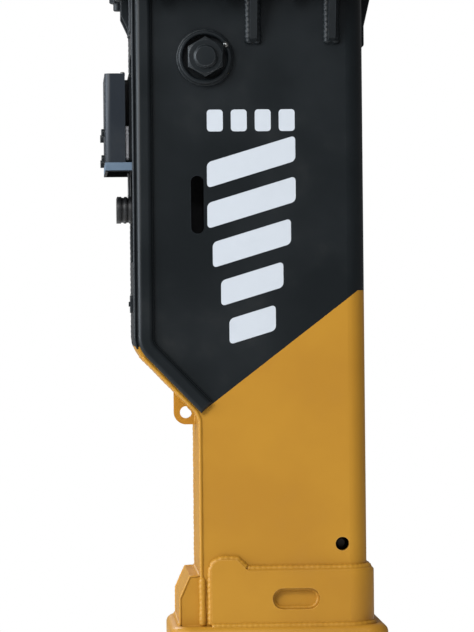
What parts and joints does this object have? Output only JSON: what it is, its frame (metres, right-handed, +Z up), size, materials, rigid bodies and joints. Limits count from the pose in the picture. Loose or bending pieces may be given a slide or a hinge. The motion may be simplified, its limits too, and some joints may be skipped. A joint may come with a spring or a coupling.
{
  "type": "hydraulic breaker hammer",
  "caption": "Box-housing hydraulic breaker hammer with a pin-on top bracket, a floating power cell, a moil point tool, a rear greaser and capped hydraulic ports.",
  "frame": {"origin": "centre of the stick pin's bore, on the mid plane between the two ears", "axes": "+Y along the pin bores, +X toward the breaker's front, +Z up, against the tool's working direction"},
  "size_m": [0.813, 0.6, 2.965],
  "materials": {
    "housing_paint": "satin two-tone paint, black above and yellow below",
    "black_paint": "satin paint",
    "yellow_paint": "satin paint",
    "bronze": "machined",
    "forged_steel": "machined and oiled",
    "ground_steel": "ground",
    "bolt_steel": "dark oxide",
    "rubber": "matte",
    "plastic_black": "matte",
    "cartridge_grey": "matte"
  },
  "bodies": {
    "housing": {"bottom_shoe": "yellow_paint", "bracket_base": "black_paint", "bracket_stiffeners": "black_paint", "cross_bolt": "black_paint", "cross_nuts": "black_paint", "cross_spacer": "black_paint", "end_gussets": "black_paint", "flange_bolts": "black_paint", "flange_nuts": "black_paint", "flange_washers": "black_paint", "front_plate": "housing_paint", "guard_bolts": "black_paint", "guide_beam": "black_paint", "left_ear": "black_paint", "left_rim": "black_paint", "left_side_plate": "housing_paint", "lifting_lug": "yellow_paint", "lower_damper": "rubber", "lower_wrap": "yellow_paint", "lube_cartridge": "cartridge_grey", "lube_guard": "black_paint", "lube_line": "plastic_black", "lube_pump": "plastic_black", "lube_tray": "black_paint", "nut_guard_rings": "black_paint", "pin_bushings": "bronze", "pump_bracket": "black_paint", "rear_block": "yellow_paint", "rear_plate": "housing_paint", "retainer_covers": "yellow_paint", "right_ear": "black_paint", "right_rim": "black_paint", "right_side_plate": "housing_paint", "side_gussets": "black_paint", "top_flange": "black_paint", "upper_damper": "rubber", "wear_pads": "plastic_black"},
    "power_cell": {"front_head": "forged_steel", "cylinder": "forged_steel", "back_head": "forged_steel", "through_bolts": "bolt_steel", "through_bolt_nuts": "bolt_steel", "seal_carrier": "bronze", "lower_bush": "bronze", "upper_bush": "bronze", "dust_seal": "rubber", "thrust_ring": "forged_steel", "retaining_pins": "ground_steel", "stop_pins": "ground_steel", "valve_box": "forged_steel", "valve_plug": "bolt_steel", "port_adapters": "bolt_steel", "port_caps": "plastic_black", "accumulator_body": "forged_steel", "accumulator_cover": "forged_steel", "accumulator_bolts": "bolt_steel", "gas_valve": "bolt_steel"},
    "tool": {"tool": "ground_steel"},
    "piston": {"piston": "ground_steel"},
    "valve_spool": {"valve_spool": "ground_steel"}
  },
  "joints": [
    {"name": "power_cell_float", "type": "slide", "parent": "housing", "child": "power_cell", "axis": [0, 0, 1], "range_m": [-0.003, 0.01], "stiffness_N_per_m": 2000000, "springref_m": 0.0068, "deforming": ["lower_damper", "upper_damper"]},
    {"name": "tool_slide", "type": "slide", "parent": "power_cell", "child": "tool", "axis": [0, 0, 1], "range_m": [0, 0.065]},
    {"name": "piston_slide", "type": "slide", "parent": "power_cell", "child": "piston", "axis": [0, 0, 1], "range_m": [0, 0.155], "stiffness_N_per_m": 12000, "springref_m": -0.15},
    {"name": "valve_spool_slide", "type": "slide", "parent": "power_cell", "child": "valve_spool", "axis": [0, 0, 1], "range_m": [0, 0.02]}
  ]
}
